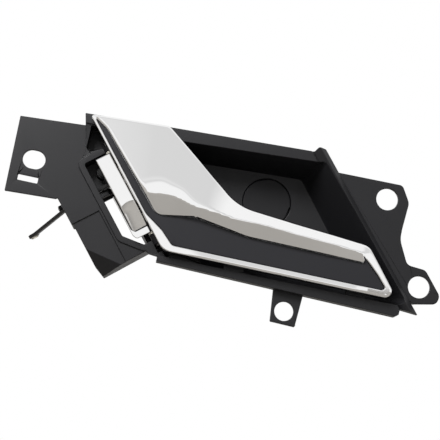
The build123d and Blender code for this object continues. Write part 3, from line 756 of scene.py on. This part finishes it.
def finishTree(tree, geometrySocket, finish):
    # smooth shading, plain geometry and the piece's material end each tree
    smooth = addNode(tree, "GeometryNodeSetShadeSmooth", None, {"Geometry": geometrySocket})
    plain = addNode(tree, "GeometryNodeRealizeInstances", None, {"Geometry": smooth.outputs[0]})
    coated = addNode(tree, "GeometryNodeSetMaterial", None, {"Geometry": plain.outputs[0], "Material": finish})
    addNode(tree, "NodeGroupOutput", None, {0: coated.outputs[0]})
    return tree


def grownMesh(name, tree, points, edges, values):
    # runs a tree over marked points, in metres, and the edges between them
    marks = bpy.data.meshes.new(name + "Marks")
    marks.from_pydata(points, edges, [])
    holder = addObject(name, marks)
    modifier = holder.modifiers.new("grow", "NODES")
    modifier.node_group = tree
    for item in tree.interface.items_tree:
        if item.in_out == "INPUT" and item.name in values:
            modifier[item.identifier] = values[item.name]
    return plainMesh(holder, name)


def wireTree():
    # sweeps round wire along the marked path
    tree, given = nodeTree("wire", [("Wire radius", "Float"), ("Sides", "Int"), ("Finish", "Material")])
    path = addNode(tree, "GeometryNodeMeshToCurve", None, {"Mesh": given["Geometry"]})
    ring = addNode(
        tree, "GeometryNodeCurvePrimitiveCircle", None,
        {"Resolution": given["Sides"], "Radius": given["Wire radius"]},
    )
    swept = addNode(
        tree, "GeometryNodeCurveToMesh", {"Fill Caps": True},
        {"Curve": path.outputs[0], "Profile Curve": ring.outputs[0]},
    )
    return finishTree(tree, swept.outputs[0], given["Finish"])


# Sides of the pins' parts, a head's top as a share of its foot, and how low the shank hangs as a share of its length
pinShape = {"headSides": 28, "driveSides": 6, "shankSides": 16, "crown": 0.8, "hang": 0.49, "sharp": 35.0}


def fastenerTree():
    # sets a headed pin with a sunk drive on each marked place
    tree, given = nodeTree("fastener", [
        ("Head radius", "Float"), ("Head height", "Float"), ("Shank radius", "Float"), ("Shank length", "Float"),
        ("Drive radius", "Float"), ("Drive depth", "Float"), ("Turn", "Vector"), ("Finish", "Material"),
    ])
    crown = addNode(tree, "ShaderNodeMath", {1: pinShape["crown"]}, {0: given["Head radius"]}, operation="MULTIPLY")
    head = addNode(
        tree, "GeometryNodeMeshCone", {"Vertices": pinShape["headSides"]},
        {"Radius Top": crown.outputs[0], "Radius Bottom": given["Head radius"], "Depth": given["Head height"]},
    )
    drive = addNode(
        tree, "GeometryNodeMeshCylinder", {"Vertices": pinShape["driveSides"]},
        {"Radius": given["Drive radius"], "Depth": given["Drive depth"]},
    )
    lift = addNode(tree, "ShaderNodeCombineXYZ", None, {"Z": given["Head height"]})
    sunk = addNode(
        tree, "GeometryNodeTransform", None, {"Geometry": drive.outputs[0], "Translation": lift.outputs[0]},
    )
    driven = addNode(
        tree, "GeometryNodeMeshBoolean", None, {"Mesh 1": head.outputs[0], "Mesh 2": sunk.outputs[0]},
        operation="DIFFERENCE",
    )
    shank = addNode(
        tree, "GeometryNodeMeshCylinder", {"Vertices": pinShape["shankSides"]},
        {"Radius": given["Shank radius"], "Depth": given["Shank length"]},
    )
    half = addNode(tree, "ShaderNodeMath", {1: -pinShape["hang"]}, {0: given["Shank length"]}, operation="MULTIPLY")
    lower = addNode(tree, "ShaderNodeCombineXYZ", None, {"Z": half.outputs[0]})
    hung = addNode(
        tree, "GeometryNodeTransform", None, {"Geometry": shank.outputs[0], "Translation": lower.outputs[0]},
    )
    whole = addNode(tree, "GeometryNodeJoinGeometry")
    tree.links.new(driven.outputs[0], whole.inputs[0])
    tree.links.new(hung.outputs[0], whole.inputs[0])
    placed = addNode(
        tree, "GeometryNodeInstanceOnPoints", None,
        {"Points": given["Geometry"], "Instance": whole.outputs[0], "Rotation": given["Turn"]},
    )
    return finishTree(tree, placed.outputs[0], given["Finish"])


# Return spring: a smooth coil between the leg under the lever's tail and the leg on the pocket's floor
spring = {
    "radius": 4.6, "wire": 0.7, "from": 17.0, "to": 33.0, "turns": 5, "steps": 24, "sides": 12, "swing": 35.0,
    # the legs' ends, across the hinge and in front of it; the moving leg runs on over the coil, on slimmer wire
    "leverLeg": (-10.5, 1.0), "floorLeg": (-4.5, -11.2), "overlap": 0.2, "slimmer": 0.01,
}


def tangentAngle(leg, side):
    # where a straight leg leaves the coil
    return math.atan2(leg[1], leg[0]) + side * math.acos(spring["radius"] / math.hypot(*leg))


def coilPlaces(first, last):
    # places on the coil from one angle to another, in radians from its first point
    count = max(2, round((last - first) / (2 * math.pi) * spring["steps"]))
    places = []
    for turned in np.linspace(first, last, count + 1):
        angle = coilStart + turned
        places.append(hingePlace(
            spring["from"] + (spring["to"] - spring["from"]) * turned / coilTurn,
            spring["radius"] * math.cos(angle), hinge["front"] + spring["radius"] * math.sin(angle),
        ))
    return places


coilStart = tangentAngle(spring["leverLeg"], 1)
coilTurn = spring["turns"] * 2 * math.pi + (tangentAngle(spring["floorLeg"], -1) - coilStart) % (2 * math.pi)
swing = math.radians(spring["swing"])
leverEnd = hingePlace(spring["from"], spring["leverLeg"][0], hinge["front"] + spring["leverLeg"][1])
floorEnd = hingePlace(spring["to"], spring["floorLeg"][0], hinge["front"] + spring["floorLeg"][1])
# the leg under the lever's tail swings with it, and slides along the first turn
legPlaces = [leverEnd] + coilPlaces(0.0, 2 * swing + spring["overlap"])
springParts = (
    ("returnSpring", "base", coilPlaces(swing, coilTurn) + [floorEnd], spring["wire"]),
    ("springLeg", "lever", legPlaces, spring["wire"] - spring["slimmer"]),
)
wire = wireTree()
for name, body, places, radius in springParts:
    swept = grownMesh(name, wire, places, [(k, k + 1) for k in range(len(places) - 1)], {
        "Wire radius": radius / 1000, "Sides": spring["sides"], "Finish": finishes["spring_steel"],
    })
    finishPiece(name, swept, body, "return_spring", replaces=body == "base")

# Screws that hold the chromed shell, and the crank's rivets
fasteners = {
    "shellScrews": {
        "node": "shell_screws", "headRadius": 2.4, "headHeight": 1.5, "shankRadius": 1.3, "shankLength": 5.5,
        "driveRadius": 1.2, "driveDepth": 1.8, "turn": (-90.0, 0.0, 0.0), "underHead": 10.5,
        "places": ((-130.4, -15.8), (-106.0, -14.0), (-62.0, -31.2), (-24.0, -33.4)),
    },
    "crankRivets": {
        "node": "crank_rivets", "headRadius": 2.1, "headHeight": 0.7, "shankRadius": 1.29, "shankLength": 4.6,
        "driveRadius": 0.5, "driveDepth": 0.5, "turn": (0.0, 140.5, 0.0), "underHead": 13.45,
        "places": ((-6.5, 1.2), (-10.4, 0.0)),
    },
}
headedPin = fastenerTree()
for name, look in fasteners.items():
    if name == "shellScrews":
        places = [(x / 1000, -look["underHead"] / 1000, z / 1000) for x, z in look["places"]]
    else:
        places = [hingePlace(look["underHead"], s, f) for s, f in look["places"]]
    pins = grownMesh(name, headedPin, places, [], {
        "Head radius": look["headRadius"] / 1000, "Head height": look["headHeight"] / 1000,
        "Shank radius": look["shankRadius"] / 1000, "Shank length": look["shankLength"] / 1000,
        "Drive radius": look["driveRadius"] / 1000, "Drive depth": look["driveDepth"] / 1000,
        "Turn": [math.radians(a) for a in look["turn"]], "Finish": finishes["zinc_steel"],
    })
    finishPiece(name, pins, "lever", look["node"], sharp=pinShape["sharp"])
print("spring, screws and rivets made")

# Cable crank: coated sheet, seen edge on from the front
crank = {
    "middle": 12.6, "thick": 1.7, "hub": (0.0, 3.0), "hubRadius": 5.0, "elbow": (-35.5, -7.3), "eye": (-57.1, -41.3),
    "eyeRadius": 3.1, "nearHalf": 2.6, "farHalf": 1.6, "elbowBend": 6.0, "edge": 0.2, "step": 2.5, "grid": 3.0,
    "holes": ((0.0, 3.0, 2.9), (-57.1, -41.3, 2.2), (-6.5, 1.2, 1.3), (-10.4, 0.0, 1.3)),
    "hubPoints": 25, "eyePoints": 21, "holePoints": 20,
}


def ringPoints(centre, radius, start, end, count):
    # points on an arc from one angle to another
    angles = np.linspace(start, end, count)
    return [(centre[0] + radius * math.cos(a), centre[1] + radius * math.sin(a)) for a in angles]


def crankOutline(look):
    # round the hub, along one side of the bent arm, round the eye and back
    hub, elbow, eye = (np.array(look[key], float) for key in ("hub", "elbow", "eye"))
    first, second = (elbow - hub) / np.linalg.norm(elbow - hub), (eye - elbow) / np.linalg.norm(eye - elbow)
    sides = [np.array((-d[1], d[0])) for d in (first, second)]
    mitre = (sides[0] + sides[1]) / (1 + sides[0].dot(sides[1])) * look["farHalf"]
    out, back = math.atan2(first[1], first[0]), math.atan2(second[1], second[0]) + math.pi
    open1, open2 = math.asin(look["nearHalf"] / look["hubRadius"]), math.asin(look["farHalf"] / look["eyeRadius"])
    corners = ringPoints(hub, look["hubRadius"], out + open1, out + 2 * math.pi - open1, look["hubPoints"])
    corners += [tuple(elbow - mitre)]
    corners += ringPoints(eye, look["eyeRadius"], back + open2, back + 2 * math.pi - open2, look["eyePoints"])
    corners += [tuple(elbow + mitre)]
    bends = [0.0] * look["hubPoints"] + [look["elbowBend"]] + [0.0] * look["eyePoints"] + [look["elbowBend"]]
    return roundedPath(corners, bends, look["step"])


def crankHeight(p):
    return crank["middle"] + crank["thick"] / 2 - edgeDrop(distanceTo(crankEdge, p), crank["edge"])


crankEdge = crankOutline(crank)
count = crank["holePoints"]
crankHoles = [
    np.array(ringPoints((s, f), radius, 0, 2 * math.pi * (count - 1) / count, count))
    for s, f, radius in crank["holes"]
]
sheet = PlateMaker()
sheet.slab(
    [crankEdge, *crankHoles], crankHeight, crank["middle"] - crank["thick"] / 2, crank["edge"], crank["grid"],
)
crankMesh = sheet.make("crankArm")
# the outline is drawn across the hinge and in front of it, and the sheet's thickness runs along it
for vert in crankMesh.vertices:
    s, t, f = vert.co.x * 1000, -vert.co.y * 1000, vert.co.z * 1000
    vert.co = hingePlace(t, s, f)
finishPiece("crankArm", crankMesh, "lever", "crank_arm")
print("crank made")

# Camera: a little below and to the left of the handle, turned so that the handle runs down to the right
photo = {
    "target": (-0.08703, 0.0, -0.03008), "distance": 0.9, "azimuth": -3.0, "elevation": -10.0,
    "roll": 11.5, "metresPerPixel": 0.00054, "frame": 440, "sensor": 36.0, "clip": (0.05, 20.0),
}


def makeCamera(view):
    azimuth, elevation, roll = (math.radians(view[k]) for k in ("azimuth", "elevation", "roll"))
    back = Vector((
        math.sin(azimuth) * math.cos(elevation), -math.cos(azimuth) * math.cos(elevation), math.sin(elevation),
    ))
    right = Vector((0, 0, 1)).cross(back).normalized()
    up = back.cross(right)
    turnedRight = right * math.cos(roll) + up * math.sin(roll)
    turnedUp = up * math.cos(roll) - right * math.sin(roll)
    camera = addObject("camera", bpy.data.cameras.new("camera"))
    camera.data.sensor_width = view["sensor"]
    camera.data.lens = view["distance"] / view["metresPerPixel"] / view["frame"] * view["sensor"]
    camera.data.clip_start, camera.data.clip_end = view["clip"]
    rotation = Matrix((turnedRight, turnedUp, back)).transposed().to_4x4()
    camera.matrix_world = Matrix.Translation(Vector(view["target"]) + back * view["distance"]) @ rotation
    scene.camera = camera


makeCamera(photo)

# Pale floor, white surround and soft lamps. Mirrors see a white horizon and large soft panels above it
studio = {
    "floorHeight": -0.24, "floorRadius": 3.0, "floorSides": 96, "floorColour": "bfbbb5", "floorRoughness": 0.8,
    "surroundColour": "ffffff", "fill": 0.5,
    # name, place, width and height in metres, watts
    "lamps": (
        ("keyLamp", (-1.2, -1.2, 1.0), (1.2, 1.2), 12.0),
        ("fillLamp", (1.0, -1.3, 0.5), (1.0, 1.0), 4.0),
        ("rearLamp", (0.2, 1.3, 1.1), (0.9, 0.6), 5.0),
    ),
    # a small lamp from the left gives the plastic its sheen; the chrome is screened from it
    "sheen": {"place": (-0.43, -0.56, 0.35), "aim": (-0.2, 0.0, 0.0), "size": (0.25, 0.25), "watts": 6.0},
    # elevation in degrees, and how bright a mirror sees the surround there
    "surround": (
        (-90.0, 0.95), (-3.0, 1.0), (13.0, 0.98), (17.0, 0.74), (21.0, 0.84), (28.0, 0.75), (46.0, 0.74), (60.0, 1.0),
    ),
}


def makeStudio(look):
    mesh = bpy.data.meshes.new("floor")
    build = bmesh.new()
    bmesh.ops.create_circle(build, cap_ends=True, segments=look["floorSides"], radius=look["floorRadius"])
    bmesh.ops.translate(build, verts=build.verts, vec=(0, 0, look["floorHeight"]))
    build.to_mesh(mesh)
    build.free()
    floor = addObject("floor", mesh)
    floor.data.materials.append(newMaterial("paleFloor", look["floorColour"], 0.0, look["floorRoughness"])[0])

    world = bpy.data.worlds.new("studioWhite")
    scene.world = world
    world.use_nodes = True
    tree = world.node_tree
    tree.nodes.clear()
    path = addNode(tree, "ShaderNodeLightPath")
    mirrored = addNode(
        tree, "ShaderNodeMath", links={0: path.outputs["Is Glossy Ray"], 1: path.outputs["Is Transmission Ray"]},
        operation="MAXIMUM",
    )
    place = addNode(tree, "ShaderNodeTexCoord").outputs["Generated"]
    height = addNode(tree, "ShaderNodeSeparateXYZ", links={0: place}).outputs["Z"]
    share = addNode(tree, "ShaderNodeMapRange", {"From Min": -1.0, "From Max": 1.0}, {"Value": height}).outputs[0]
    ramp = addNode(tree, "ShaderNodeValToRGB", links={"Fac": share})
    for number, (elevation, level) in enumerate(look["surround"]):
        spot = (math.sin(math.radians(elevation)) + 1) / 2
        stop = ramp.color_ramp.elements[number] if number < 2 else ramp.color_ramp.elements.new(spot)
        stop.position = spot
        stop.color = (level, level, level, 1.0)
    colour = hexColour(look["surroundColour"])
    fill = addNode(tree, "ShaderNodeBackground", {"Color": colour, "Strength": look["fill"]})
    white = addNode(tree, "ShaderNodeBackground", {"Color": colour, "Strength": 1.0})
    panels = addNode(tree, "ShaderNodeBackground", {"Strength": 1.0}, {"Color": ramp.outputs["Color"]})
    # soft light on the object, the panels in its mirrors, and plain white behind it
    lit = addNode(
        tree, "ShaderNodeMixShader", links={0: mirrored.outputs[0], 1: fill.outputs[0], 2: panels.outputs[0]},
    )
    mix = addNode(
        tree, "ShaderNodeMixShader", links={0: path.outputs["Is Camera Ray"], 1: lit.outputs[0], 2: white.outputs[0]},
    )
    addNode(tree, "ShaderNodeOutputWorld", links={"Surface": mix.outputs[0]})


def softLamp(name, place, aim, size, watts, mirrored=False, only=None):
    lamp = bpy.data.lights.new(name, "AREA")
    lamp.shape, lamp.size, lamp.size_y = "RECTANGLE", size[0], size[1]
    lamp.energy = watts
    holder = addObject(name, lamp)
    holder.location = place
    holder.rotation_mode = "QUATERNION"
    holder.rotation_quaternion = (Vector(aim) - Vector(place)).to_track_quat("-Z", "Y")
    holder.visible_glossy = mirrored
    if only:
        holder.light_linking.receiver_collection = only


makeStudio(studio)
for name, place, size, watts in studio["lamps"]:
    softLamp(name, place, photo["target"], size, watts)
plastics = bpy.data.collections.new("plastics")
for piece in [o for o in scene.objects if o.type == "MESH" and o.name != "floor"]:
    if piece.data.materials and piece.data.materials[0] != chrome:
        plastics.objects.link(piece)
sheen = studio["sheen"]
softLamp("sheenLamp", sheen["place"], sheen["aim"], sheen["size"], sheen["watts"], mirrored=True, only=plastics)
scene.view_settings.view_transform = "Standard"
print("camera, floor and lamps in place")
